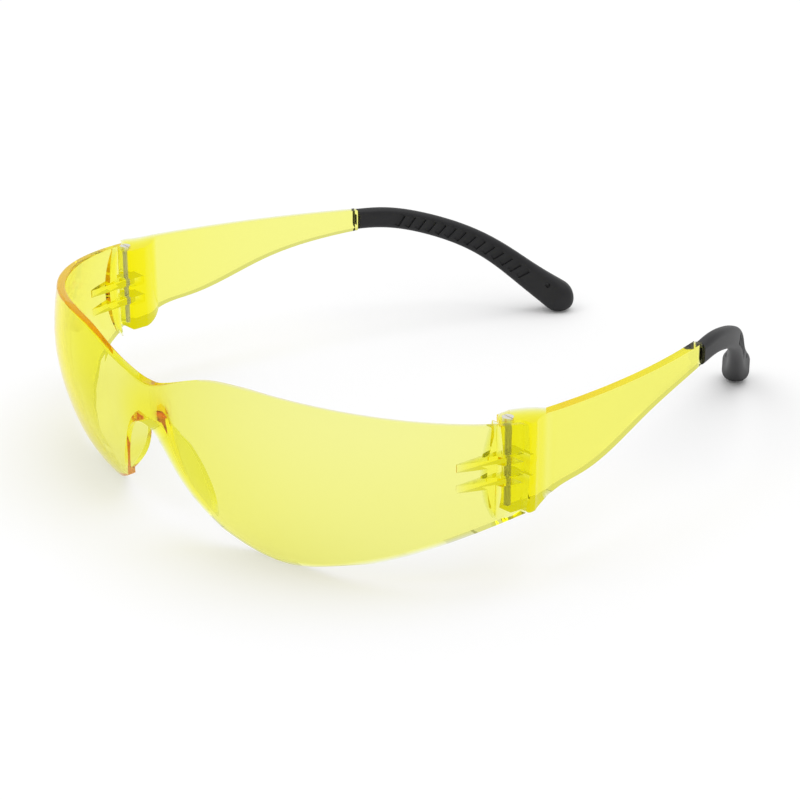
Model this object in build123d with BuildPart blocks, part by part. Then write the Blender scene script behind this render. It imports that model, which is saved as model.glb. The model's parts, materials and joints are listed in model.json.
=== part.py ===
"""Frameless wraparound safety glasses: a one-piece shield, two folding temples, rubber tips, hinge screws.

Millimetres.  +Z is up, the front of the shield faces -Y and the temples run back along +Y.
+X is the wearer's left.  The glasses lie open on the ground plane, touching it with the lower
edge of the shield and the ends of both tips.
"""
from build123d import *
from math import atan2, degrees, sqrt
import os

os.makedirs("parts", exist_ok=True)

# ---------------------------------------------------------------- overall layout
hinge_line_y = -36.68         # hinge axes, measured from the middle of the overall depth
hinge_x = 67.0                # each hinge axis, measured from the middle plane

ground = Plane((0, hinge_line_y, 0))                                      # plan views
front_view = Plane((0, hinge_line_y, 0), x_dir=(1, 0, 0), z_dir=(0, -1, 0))    # x across, y up
side_view = Plane((0, hinge_line_y, 0), x_dir=(0, 1, 0), z_dir=(1, 0, 0))      # x back, y up
wide = 200.0                  # reach of a cut that passes right through

# ---------------------------------------------------------------- shield
shield_t = 2.0                # wall of the moulded shield
eye_centre_x = 13.5           # centre of one eye dome
eye_centre_y = 15.2
eye_r = 58.0                  # inner radius of the dome at its widest level
widest_z = 26.0
rise_r = 58.0                 # vertical radius above the widest level
fall_r = 46.0                 # vertical radius below it
rake_above = 0.08             # backward lean of the shield per millimetre of drop, above that level ...
rake_below = 0.127            # ... and below it
side_flatness = 0.6           # share of the doming that the side panels lose below that level
shield_end_y = 1.8            # rear ends of the shield, behind the hinge axes
section_levels = (-4, 4, 11, 18, 26, 34, 40, 46)

brow_z = 42.7                 # highest point of the brow
brow_x = 31.0
bridge_top_z = 35.4
top_rim_z = 34.9              # everything above is the top rim
rim_round = 0.5
nose_apex_z = 25.9

bridge_half_w = 12.6          # the two domes blend into each other over this half width
bridge_recess = 0.5           # how far the bridge's front stands behind the domes
bridge_fill_top = 1.4         # how far the blend's rear face stands behind the domes, at its top ...
bridge_fill_low = 2.6         # ... and where the nose saddle grows out of it
bridge_fill_top_z = 34.0

saddle_t = 1.8                # nose saddle: a crescent wall round the nose cut-out
saddle_rear_y = -35.8

# ---------------------------------------------------------------- hinge
barrel_r = 1.9
screw_r = 0.6
screw_head_r = 1.25
screw_head_h = 1.0
screw_head_proud = 0.5
screw_slot = 0.35
eye_clearance = 0.05          # radial running clearance of the shield's hinge eyes on the screw
fin_t = 1.8                   # two hinge fins on each side of the shield
fin_levels = (22.3, 27.1)   # undersides of the fins
fin_gap = 0.12                # gap above and below each fin in the temple's slots
fin_reach = 12.1              # fin tips, in front of the hinge axis
pad_t = 1.8                   # raised D-shaped pad behind which each hinge sits
stop_gap = 0.15               # between the end of the shield and the temple's shoulder

# ---------------------------------------------------------------- temples
block_top_z = 36.3
block_bottom_z = 15.7
block_inner_x = 64.0
block_round = 0.8
block_sweep_r = 3.15          # clear radius that the block's front corner needs when the temple folds
shoulder_x = 71.9             # shoulder, flush with the outside of the shield
blade_t = 2.1
slot_depth_y = 3.0            # the temple's fin slots end here
sleeve_y = 67.6               # front end of the rubber tip

# ---------------------------------------------------------------- rubber tips
tip_t = 3.3                   # section at the front end ...
tip_h = 5.2
tip_swell_t = 3.5             # ... and its growth into the rounded rear end
tip_swell_h = 3.0
tip_squareness = 0.41         # corner radius as a share of the thickness
tip_sections = 9
cap_length = 4.8
tang_t = 1.3                  # tongue of the temple inside the tip
tang_h = 2.8
tang_share = 0.6              # share of the tip that the tongue fills
groove_count = 14
groove_first = 0.19           # shares of the tip between which the grip grooves lie
groove_last = 0.81
groove_first_outside = 0.5    # on the outer face they start further back
groove_depth = 0.4
groove_w = 1.5
groove_h = 3.3
groove_slant = 22.0           # degrees
hole_share = 0.93             # small hole through the rear end
hole_rise = 1.4
hole_r = 0.65


def dome(z):
    """Sagitta of the dome's vertical arc at height z."""
    radius = rise_r if z > widest_z else fall_r
    return radius - sqrt(radius**2 - (z - widest_z)**2)


def dome_face(z, offset):
    """Plan section at height z of one half's solid: bridge blend, eye dome, then straight back to a chord."""
    radius = eye_r + offset - dome(z)
    flatten = side_flatness * dome(z) if z < widest_z else 0
    centre_x = eye_centre_x + flatten
    rake = rake_above if z > widest_z else rake_below
    centre_y = eye_centre_y + rake * (widest_z - z)
    start_rise = bridge_half_w - centre_x
    start = degrees(-atan2(sqrt(radius**2 - start_rise**2), start_rise))
    rise = shield_end_y - centre_y
    end = degrees(atan2(rise, sqrt(radius**2 - rise**2)))
    fade = min(1, max(0, (bridge_fill_top_z - z) / (bridge_fill_top_z - widest_z)))
    fill = bridge_fill_top + (bridge_fill_low - bridge_fill_top) * fade
    with BuildSketch(ground.offset(z)) as section:
        with BuildLine():
            arc = CenterArc((centre_x, centre_y), radius, start, end - start)
            meeting = arc @ 0
            nose_y = meeting.Y + (bridge_recess if offset > 0 else fill)
            blend = Spline((0, nose_y), meeting, tangents=((1, 0), arc % 0))
            Line(arc @ 1, (0, shield_end_y))
            Line((0, shield_end_y), blend @ 0)
        make_face()
    return section.sketch.face()


# ================================================================ shield
# One half, solid from its outer surface back to a chord, then its hollow.
with BuildPart() as dome_blank:
    loft(sections=[dome_face(level, shield_t) for level in section_levels])

with BuildPart() as dome_hollow:
    loft(sections=[dome_face(level, 0) for level in section_levels])

# The edge of the nose cut-out below its apex, down to the lower rim.
nose_edge = [(4.2, 24.4), (8.7, 17.1), (12.4, 10.5), (16.5, 5.4), (21.4, 2.4)]

# Front outline of one half: bridge, brow, and the nose cut-out running into the lower rim.
with BuildSketch(front_view) as front_outline:
    with BuildLine():
        brow = Spline((0, bridge_top_z), (6, 36.7), (16.8, 40.9), (brow_x, brow_z),
                      tangents=((1, 0), (1, 0)))
        nose = Spline((0, nose_apex_z), *nose_edge, tangents=((1, 0), (1, -0.53)))
        chin = TangentArc(nose @ 1, (31, 0), tangent=nose % 1)
        cheek = Spline(chin @ 1, (42, 2.2), (54, 5.6), tangents=((1, 0), (1, 0.25)))
        Line(cheek @ 1, (wide, 5.6))
        Line((wide, 5.6), (wide, brow_z))
        Line((wide, brow_z), brow @ 1)
        Line(brow @ 0, nose @ 0)
    make_face()

# Side outline: the top edge falls and the lower edge climbs towards the hinge.
with BuildSketch(side_view) as side_outline:
    with BuildLine():
        top = ThreePointArc((-39.5, brow_z), (-18.2, 38.8), (shield_end_y + 1, 35.8))
        low = ThreePointArc((-25, 4.4), (-11, 11.6), (shield_end_y + 1, 15.7))
        Line(top @ 1, low @ 1)
        Polyline(low @ 0, (-33, -2), (-60, -2), (-60, brow_z))
        Line((-60, brow_z), top @ 0)
    make_face()

# Nose saddle: the strip that follows the cut-out in the front view ...
with BuildSketch(front_view) as saddle_strip:
    with BuildLine():
        inner = Spline((0, nose_apex_z), *nose_edge, tangents=((1, 0), (1, -0.53)))
        outer = Spline((0, nose_apex_z + saddle_t), (4.6, 26.6), (10.3, 18.0), (16.7, 8.0), (22, 4.1),
                       tangents=((1, 0), (1, -0.53)))
        Line(inner @ 0, outer @ 0)
        Line(inner @ 1, outer @ 1)
    make_face()

# ... and its crescent side view.
with BuildSketch(side_view) as saddle_crescent:
    with BuildLine():
        rear = Spline((-43, 29), (-37.4, 21.5), (saddle_rear_y, 15.5), (-38.6, 4),
                      tangents=((1, -1), (-0.7, -1)))
        Line(rear @ 1, (-60, 4))
        Line((-60, 4), (-60, 29))
        Line((-60, 29), rear @ 0)
    make_face()

with BuildPart() as saddle:
    extrude(saddle_strip.sketch, amount=wide, both=True)
    extrude(saddle_crescent.sketch, amount=wide, both=True, mode=Mode.INTERSECT)
    add(dome_blank.part, mode=Mode.INTERSECT)

# Two hinge fins: long tapering ribs on the inside of the shield, each ending in an eye.
with BuildPart() as fins:
    for level in fin_levels:
        with BuildSketch(ground.offset(level)):
            with BuildLine():
                Polyline((hinge_x - barrel_r, 0), (64.4, -fin_reach), (66.4, -fin_reach - 0.6),
                         (72.5, -4), (72.5, barrel_r), (hinge_x, barrel_r), (hinge_x, 0), close=True)
            make_face()
            with Locations((hinge_x, 0)):
                Circle(barrel_r)
        extrude(amount=fin_t)
    add(dome_blank.part, mode=Mode.INTERSECT)

# Raised D-shaped pad in front of the hinge.
with BuildSketch(side_view) as pad_outline:
    with BuildLine():
        bow = ThreePointArc((-3.2, 37), (-6.1, 28), (-2.2, 13))
        Line(bow @ 0, bow @ 1)
    make_face()

with BuildPart() as pad_hollow:
    loft(sections=[dome_face(level, -pad_t) for level in section_levels])

with BuildPart() as pad:
    loft(sections=[dome_face(level, shield_t / 2) for level in section_levels])
    extrude(pad_outline.sketch, amount=wide, both=True, mode=Mode.INTERSECT)
    extrude(side_outline.sketch, amount=wide, both=True, mode=Mode.INTERSECT)
    add(pad_hollow.part, mode=Mode.SUBTRACT)
    with BuildSketch(ground):
        with Locations((hinge_x, 0)):
            Circle(block_sweep_r)
    extrude(amount=block_top_z, mode=Mode.SUBTRACT)

with BuildPart() as lens:
    add(dome_blank.part)
    add(dome_hollow.part, mode=Mode.SUBTRACT)
    add(saddle.part)
    extrude(front_outline.sketch, amount=wide, both=True, mode=Mode.INTERSECT)
    extrude(side_outline.sketch, amount=wide, both=True, mode=Mode.INTERSECT)
    mirror(about=Plane.YZ)
    top_rim = lens.edges().filter_by(lambda edge: edge.bounding_box().min.Z > top_rim_z)
    fillet(top_rim.filter_by(lambda edge: edge.length > shield_t + 0.5), rim_round)
    with BuildSketch(ground):
        with Locations((hinge_x, 0), (-hinge_x, 0)):
            Circle(barrel_r + stop_gap)
            Rectangle(2 * (barrel_r + stop_gap), shield_end_y, align=(Align.CENTER, Align.MIN))
    extrude(amount=block_top_z, mode=Mode.SUBTRACT)
    for raised in (pad.part, fins.part):
        add(raised)
        mirror(raised, about=Plane.YZ)
    with BuildSketch(ground):
        with Locations((hinge_x, 0), (-hinge_x, 0)):
            Circle(screw_r + eye_clearance)
    extrude(amount=block_top_z, mode=Mode.SUBTRACT)

# ================================================================ temple
head_z = block_top_z + screw_head_proud - screw_head_h    # seat of the screw head

# Plan view of the hinge block and the blade.
with BuildSketch(ground) as temple_plan:
    with BuildLine():
        outside = ThreePointArc((70.5, 10.5), (67.4, 38), (60.2, sleeve_y))
        inside = ThreePointArc((60.2 - blade_t, sleeve_y - 0.6), (67.4 - blade_t, 37.4), (68.1, 10))
        Line(outside @ 1, inside @ 0)
        heel = ThreePointArc(inside @ 1, (65.6, 6.9), (block_inner_x, 3.6))
        Polyline(heel @ 1, (block_inner_x, -0.4), (hinge_x - 1.4, -1.28), (hinge_x, 0),
                 (hinge_x + barrel_r, 0), (hinge_x + barrel_r, shield_end_y + stop_gap),
                 (shoulder_x, shield_end_y + stop_gap), (shoulder_x, 3.7))
        ThreePointArc((shoulder_x, 3.7), (70.9, 6.0), outside @ 0)
    make_face()
    inner_corners = temple_plan.vertices().filter_by(lambda corner: abs(corner.X - block_inner_x) < 0.01)
    fillet(inner_corners, block_round)
    fillet(temple_plan.vertices().group_by(Axis.X)[-1], block_round / 2)
    with Locations((hinge_x, 0)):
        Circle(barrel_r)

# Side view: tall block, then a blade that tapers to the rubber tip.
with BuildSketch(side_view) as temple_side:
    with BuildLine():
        Polyline((-4, block_top_z), (8, block_top_z), (sleeve_y, 32.1), (sleeve_y, 26.9))
        under = Spline((sleeve_y, 26.9), (41.6, 23.8), (20, 18.7), (8.8, 17.0),
                       tangents=((-1, -0.05), (-1, -0.5)))
        ThreePointArc(under @ 1, (5.4, 15.9), (2, block_bottom_z))
        Polyline((2, block_bottom_z), (-0.6, block_bottom_z), (-4, 18), (-4, block_top_z))
    make_face()

# Centre line of the rubber tip, down behind the ear and in towards the head.
with BuildLine(ground) as tip_path:
    Spline((59.5, sleeve_y, 29.4), (55.2, 78.2, 28.2), (51.3, 86.2, 25.6), (43.8, 98.4, 19.0),
           (36.8, 107.6, 10.5), (31.6, 113.9, 4.35))


def tip_plane(t):
    """Cross-section plane at share t of the centre line, its x axis level and facing outward."""
    along = tip_path.line % t if t > 0 else Vector(0, 1, 0)
    return Plane(tip_path.line @ t, x_dir=(along.Y, -along.X, 0), z_dir=along)


def tip_width(t):
    """Thickness of the tip at share t: even, then swelling into the rear end."""
    return tip_t + tip_swell_t * t**9


# Tongue that carries the rubber tip.
with BuildPart() as tang:
    with BuildSketch(tip_plane(0).offset(-2)):
        Rectangle(tang_t, tang_h)
    for i in range(5):
        with BuildSketch(tip_plane(tang_share * i / 4)):
            Rectangle(tang_t, tang_h)
    loft()

with BuildPart() as temple_left:
    extrude(temple_plan.sketch, amount=wide)
    extrude(temple_side.sketch, amount=wide, both=True, mode=Mode.INTERSECT)
    for level in fin_levels:
        with BuildSketch(ground.offset(level - fin_gap)):
            with Locations((hinge_x, slot_depth_y)):
                Rectangle(20, 20, align=(Align.CENTER, Align.MAX))
        extrude(amount=fin_t + 2 * fin_gap, mode=Mode.SUBTRACT)
    with BuildSketch(ground.offset(block_bottom_z + 1.2)):
        with Locations((hinge_x, 0)):
            Circle(screw_r)
    extrude(amount=wide, mode=Mode.SUBTRACT)
    with BuildSketch(ground.offset(head_z)):
        with Locations((hinge_x, 0)):
            Circle(screw_head_r)
    extrude(amount=wide, mode=Mode.SUBTRACT)
    add(tang.part)

# ================================================================ rubber tip
# Rounded cap that closes the end.
with BuildPart() as tip_cap:
    for share in (0, 0.45, 0.72, 0.9, 0.98):
        shrink = sqrt(1 - share**2)
        narrow = 0.3 + 0.7 * shrink
        with BuildSketch(tip_plane(1).offset(share * cap_length)):
            RectangleRounded(tip_width(1) * narrow, (tip_h + tip_swell_h) * shrink,
                             tip_squareness * min(tip_width(1) * narrow, (tip_h + tip_swell_h) * shrink))
    loft()

# Rounded sections along the centre line, thickest at the rear end.
with BuildPart() as tip_left:
    for i in range(tip_sections):
        t = i / (tip_sections - 1)
        with BuildSketch(tip_plane(t)):
            RectangleRounded(tip_width(t), tip_h + tip_swell_h * t**3, tip_squareness * tip_width(t))
    loft()
    add(tip_cap.part)
    add(tang.part, mode=Mode.SUBTRACT)
    # Slanted grip grooves, on the inner face and on the rear part of the outer face.
    for i in range(groove_count):
        t = groove_first + (groove_last - groove_first) * i / (groove_count - 1)
        for side in (-1, 1):
            if side < 0 or t > groove_first_outside:
                outward = side * tip_plane(t).x_dir
                floor = tip_path.line @ t + outward * (tip_width(t) / 2 - groove_depth)
                with BuildSketch(Plane(floor, x_dir=tip_plane(t).z_dir, z_dir=outward)):
                    Rectangle(groove_w, groove_h, rotation=-side * groove_slant)
                extrude(amount=2, mode=Mode.SUBTRACT)
    # Small hole through the rear end.
    with BuildSketch(Plane(tip_path.line @ hole_share, x_dir=tip_plane(hole_share).z_dir,
                           z_dir=tip_plane(hole_share).x_dir)):
        with Locations((0, hole_rise)):
            Circle(hole_r)
    extrude(amount=tip_width(1), both=True, mode=Mode.SUBTRACT)

# ================================================================ hinge screw
with BuildPart() as hinge_screw_left:
    with BuildSketch(ground.offset(block_bottom_z + 1.2)):
        with Locations((hinge_x, 0)):
            Circle(screw_r)
    extrude(amount=head_z - block_bottom_z - 1.2)
    with BuildSketch(ground.offset(head_z)):
        with Locations((hinge_x, 0)):
            Circle(screw_head_r)
    extrude(amount=screw_head_h)
    with BuildSketch(ground.offset(head_z + screw_head_h)):
        with Locations((hinge_x, 0)):
            Rectangle(2 * screw_head_r, screw_slot)
    extrude(amount=-screw_slot, mode=Mode.SUBTRACT)

# ================================================================ right-hand pieces
with BuildPart() as temple_right:
    mirror(temple_left.part, about=Plane.YZ)

with BuildPart() as tip_right:
    mirror(tip_left.part, about=Plane.YZ)

with BuildPart() as hinge_screw_right:
    mirror(hinge_screw_left.part, about=Plane.YZ)

lens.part.label = "lens"
temple_left.part.label = "temple_left"
temple_right.part.label = "temple_right"
tip_left.part.label = "tip_left"
tip_right.part.label = "tip_right"
hinge_screw_left.part.label = "hinge_screw_left"
hinge_screw_right.part.label = "hinge_screw_right"

export_step(lens.part, "parts/lens.step")
export_step(temple_left.part, "parts/temple_left.step")
export_step(temple_right.part, "parts/temple_right.step")
export_step(tip_left.part, "parts/tip_left.step")
export_step(tip_right.part, "parts/tip_right.step")
export_step(hinge_screw_left.part, "parts/hinge_screw_left.step")
export_step(hinge_screw_right.part, "parts/hinge_screw_right.step")
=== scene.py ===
"""Looks of the safety glasses: clear yellow plastic, soft dark tips and steel hinge screws."""
import json
import math

import bpy
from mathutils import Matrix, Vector


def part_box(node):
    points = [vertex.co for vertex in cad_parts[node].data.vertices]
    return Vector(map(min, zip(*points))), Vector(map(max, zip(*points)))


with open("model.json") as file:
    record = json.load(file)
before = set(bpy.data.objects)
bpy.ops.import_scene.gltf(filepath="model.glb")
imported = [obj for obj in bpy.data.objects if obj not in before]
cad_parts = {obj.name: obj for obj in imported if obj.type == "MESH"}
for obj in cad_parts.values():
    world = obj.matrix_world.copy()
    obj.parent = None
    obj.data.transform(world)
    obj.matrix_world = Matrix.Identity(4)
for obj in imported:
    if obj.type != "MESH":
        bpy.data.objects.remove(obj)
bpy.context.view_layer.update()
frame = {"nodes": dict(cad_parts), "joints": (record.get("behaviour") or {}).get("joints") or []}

# ---------------------------------------------------------------- driving values, metres
VIEW_AZIMUTH = math.radians(48.34)
VIEW_ELEVATION = math.radians(24.15)
VIEW_DISTANCE = 0.5304
VIEW_LENS_MM = 110.25
VIEW_TARGET_X = 0.0336
VIEW_TARGET_Z = 0.0293

PLASTIC_IOR = 1.18                         # lower than real polycarbonate, which darkens the edges
DYE_DENSITY = 540.0                        # absorption by the dye, per metre
DYE_COLOR = (0.997, 0.974, 0.0, 1)         # what the dye lets through
LIGHT_BOUNCES = 40                         # enough to cross every wall of the clear parts

HEAD_HEIGHT = 0.001                        # of the hinge screws
FINISH_EDGE = 0.0001                       # height over which polished turns to dull

FLOOR_HALF = 3.0
SKY_STRENGTH = 0.80
KEY_PLACE = Vector((-0.25, -0.55, 0.9))
KEY_AIM = Vector((0, 0, 0.02))
KEY_SIZE = 0.5
KEY_WATTS = 1.0
SUN_STRENGTH = 0.8
SUN_SPREAD = math.radians(50)
SUN_TILT = (math.radians(-14), math.radians(8), 0)

HINGE_LINE_Y = frame["joints"][0]["pos_m"][1]
HEAD_SEAT_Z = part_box("hinge_screw_left")[1][2] - HEAD_HEIGHT


# ---------------------------------------------------------------- node helpers
def new_material(name):
    """An empty node material, its node tree and its output node."""
    material = bpy.data.materials.new(name)
    material.use_nodes = True
    tree = material.node_tree
    tree.nodes.clear()
    return material, tree, tree.nodes.new("ShaderNodeOutputMaterial")


def node(tree, kind, **inputs):
    """A new node; each keyword sets the input of that name, with _ for a space."""
    made = tree.nodes.new(kind)
    for key, value in inputs.items():
        made.inputs[key.replace("_", " ")].default_value = value
    return made


def math_node(tree, operation):
    """A new arithmetic node."""
    made = tree.nodes.new("ShaderNodeMath")
    made.operation = operation
    return made


# ---------------------------------------------------------------- materials
def polycarbonate(name):
    """Clear moulded plastic whose yellow deepens with the path the light takes through it."""
    material, tree, out = new_material(name)
    link = tree.links.new
    where = tree.nodes.new("ShaderNodeTexCoord")
    flow = node(tree, "ShaderNodeTexNoise", Scale=55.0, Detail=3.0, Roughness=0.5)
    link(where.outputs["Object"], flow.inputs["Vector"])
    haze = node(tree, "ShaderNodeMapRange", To_Min=0.0, To_Max=0.035)
    link(flow.outputs["Fac"], haze.inputs["Value"])
    bump = node(tree, "ShaderNodeBump", Strength=0.02, Distance=0.0004)
    link(flow.outputs["Fac"], bump.inputs["Height"])
    shell = node(tree, "ShaderNodeBsdfPrincipled", Transmission_Weight=1.0, IOR=PLASTIC_IOR,
                 Base_Color=(0.915, 0.94, 0.93, 1), Specular_Tint=(1.0, 0.97, 0.35, 1))
    link(haze.outputs["Result"], shell.inputs["Roughness"])
    link(bump.outputs["Normal"], shell.inputs["Normal"])

    # Shadow and diffuse rays go straight through, so the floor gets a pale shadow.
    through = node(tree, "ShaderNodeBsdfTransparent", Color=(0.83, 0.83, 0.825, 1))
    path = tree.nodes.new("ShaderNodeLightPath")
    straight = math_node(tree, "MAXIMUM")
    link(path.outputs["Is Shadow Ray"], straight.inputs[0])
    link(path.outputs["Is Diffuse Ray"], straight.inputs[1])
    mix = tree.nodes.new("ShaderNodeMixShader")
    link(straight.outputs["Value"], mix.inputs[0])
    link(shell.outputs["BSDF"], mix.inputs[1])
    link(through.outputs["BSDF"], mix.inputs[2])
    link(mix.outputs["Shader"], out.inputs["Surface"])

    # The dye leaves diffuse rays alone, so the floor's shadow stays nearly neutral.
    dyed = math_node(tree, "SUBTRACT")
    dyed.inputs[0].default_value = 1.0
    link(path.outputs["Is Diffuse Ray"], dyed.inputs[1])
    density = math_node(tree, "MULTIPLY")
    density.inputs[0].default_value = DYE_DENSITY
    link(dyed.outputs["Value"], density.inputs[1])
    dye = node(tree, "ShaderNodeVolumeAbsorption", Color=DYE_COLOR)
    link(density.outputs["Value"], dye.inputs["Density"])
    link(dye.outputs["Volume"], out.inputs["Volume"])
    return material


def soft_rubber(name):
    """Dark matte elastomer with a fine moulded texture."""
    material, tree, out = new_material(name)
    link = tree.links.new
    where = tree.nodes.new("ShaderNodeTexCoord")
    grain = node(tree, "ShaderNodeTexNoise", Scale=2600.0, Detail=4.0, Roughness=0.65)
    cloud = node(tree, "ShaderNodeTexNoise", Scale=160.0, Detail=3.0)
    link(where.outputs["Object"], grain.inputs["Vector"])
    link(where.outputs["Object"], cloud.inputs["Vector"])
    shade = tree.nodes.new("ShaderNodeMix")
    shade.data_type = "RGBA"
    shade.inputs["A"].default_value = (0.006, 0.006, 0.007, 1)
    shade.inputs["B"].default_value = (0.013, 0.013, 0.015, 1)
    link(cloud.outputs["Fac"], shade.inputs["Factor"])
    bump = node(tree, "ShaderNodeBump", Strength=0.25, Distance=0.00008)
    link(grain.outputs["Fac"], bump.inputs["Height"])
    skin = node(tree, "ShaderNodeBsdfPrincipled", Roughness=0.5, IOR=1.38)
    link(shade.outputs["Result"], skin.inputs["Base Color"])
    link(bump.outputs["Normal"], skin.inputs["Normal"])
    link(skin.outputs["BSDF"], out.inputs["Surface"])
    return material


def plated_steel(name):
    """Plated steel: a polished head on a dull shank."""
    material, tree, out = new_material(name)
    link = tree.links.new
    where = tree.nodes.new("ShaderNodeTexCoord")
    marks = node(tree, "ShaderNodeTexNoise", Scale=3000.0, Detail=3.0)
    link(where.outputs["Object"], marks.inputs["Vector"])
    rough = node(tree, "ShaderNodeMapRange", To_Min=0.22, To_Max=0.45)
    link(marks.outputs["Fac"], rough.inputs["Value"])
    bump = node(tree, "ShaderNodeBump", Strength=0.1, Distance=0.00003)
    link(marks.outputs["Fac"], bump.inputs["Height"])
    height = tree.nodes.new("ShaderNodeSeparateXYZ")
    link(where.outputs["Object"], height.inputs["Vector"])
    polish = node(tree, "ShaderNodeMapRange", From_Min=HEAD_SEAT_Z - FINISH_EDGE,
                  From_Max=HEAD_SEAT_Z, To_Min=0.2, To_Max=1.0)
    link(height.outputs["Z"], polish.inputs["Value"])
    metal = node(tree, "ShaderNodeBsdfPrincipled", Base_Color=(0.88, 0.86, 0.80, 1))
    link(polish.outputs["Result"], metal.inputs["Metallic"])
    link(rough.outputs["Result"], metal.inputs["Roughness"])
    link(bump.outputs["Normal"], metal.inputs["Normal"])
    link(metal.outputs["BSDF"], out.inputs["Surface"])
    return material


def paint(node_name, material):
    """Gives a CAD node one material on every face."""
    mesh = frame["nodes"][node_name].data
    if not mesh.materials:
        mesh.materials.append(material)
    for i in range(len(mesh.materials)):
        mesh.materials[i] = material


clear_yellow = polycarbonate("clear_yellow_polycarbonate")
dark_rubber = soft_rubber("dark_rubber")
screw_steel = plated_steel("plated_steel")

paint("lens", clear_yellow)
for side in ("left", "right"):
    paint(f"temple_{side}", clear_yellow)
    paint(f"tip_{side}", dark_rubber)
    paint(f"hinge_screw_{side}", screw_steel)

# ---------------------------------------------------------------- floor
floor_mesh = bpy.data.meshes.new("floor")
floor_corners = [(-FLOOR_HALF, -FLOOR_HALF, 0), (FLOOR_HALF, -FLOOR_HALF, 0),
                 (FLOOR_HALF, FLOOR_HALF, 0), (-FLOOR_HALF, FLOOR_HALF, 0)]
floor_mesh.from_pydata(floor_corners, [], [(0, 1, 2, 3)])
floor = bpy.data.objects.new("floor", floor_mesh)
bpy.context.collection.objects.link(floor)
floor_paint, floor_tree, floor_out = new_material("pale_floor")
floor_face = node(floor_tree, "ShaderNodeBsdfDiffuse", Color=(0.93, 0.93, 0.93, 1))
floor_tree.links.new(floor_face.outputs["BSDF"], floor_out.inputs["Surface"])
floor_mesh.materials.append(floor_paint)

# ---------------------------------------------------------------- light
world = bpy.data.worlds.new("studio")
bpy.context.scene.world = world
world.use_nodes = True
sky = world.node_tree.nodes["Background"]
sky.inputs["Color"].default_value = (1, 1, 1, 1)
sky.inputs["Strength"].default_value = SKY_STRENGTH

key_data = bpy.data.lights.new("key", "AREA")
key_data.size = KEY_SIZE
key_data.energy = KEY_WATTS
key = bpy.data.objects.new("key", key_data)
key.location = KEY_PLACE
key.rotation_mode = "QUATERNION"
key.rotation_quaternion = (KEY_AIM - KEY_PLACE).to_track_quat("-Z", "Y")
bpy.context.collection.objects.link(key)

sun_data = bpy.data.lights.new("overhead", "SUN")
sun_data.energy = SUN_STRENGTH
sun_data.angle = SUN_SPREAD
sun = bpy.data.objects.new("overhead", sun_data)
sun.rotation_euler = SUN_TILT
bpy.context.collection.objects.link(sun)

# ---------------------------------------------------------------- camera
target = Vector((VIEW_TARGET_X, HINGE_LINE_Y, VIEW_TARGET_Z))
back = Vector((math.sin(VIEW_AZIMUTH) * math.cos(VIEW_ELEVATION),
               -math.cos(VIEW_AZIMUTH) * math.cos(VIEW_ELEVATION),
               math.sin(VIEW_ELEVATION)))
camera_data = bpy.data.cameras.new("camera")
camera_data.lens = VIEW_LENS_MM
camera_data.sensor_width = 36.0
camera_data.clip_start = 0.01
camera_data.clip_end = 20.0
camera = bpy.data.objects.new("camera", camera_data)
camera.location = target + VIEW_DISTANCE * back
camera.rotation_mode = "QUATERNION"
camera.rotation_quaternion = (-back).to_track_quat("-Z", "Y")
bpy.context.collection.objects.link(camera)

scene = bpy.context.scene
scene.camera = camera
scene.view_settings.view_transform = "Standard"
scene.cycles.max_bounces = LIGHT_BOUNCES
scene.cycles.transmission_bounces = LIGHT_BOUNCES
scene.cycles.glossy_bounces = LIGHT_BOUNCES
scene.cycles.transparent_max_bounces = LIGHT_BOUNCES
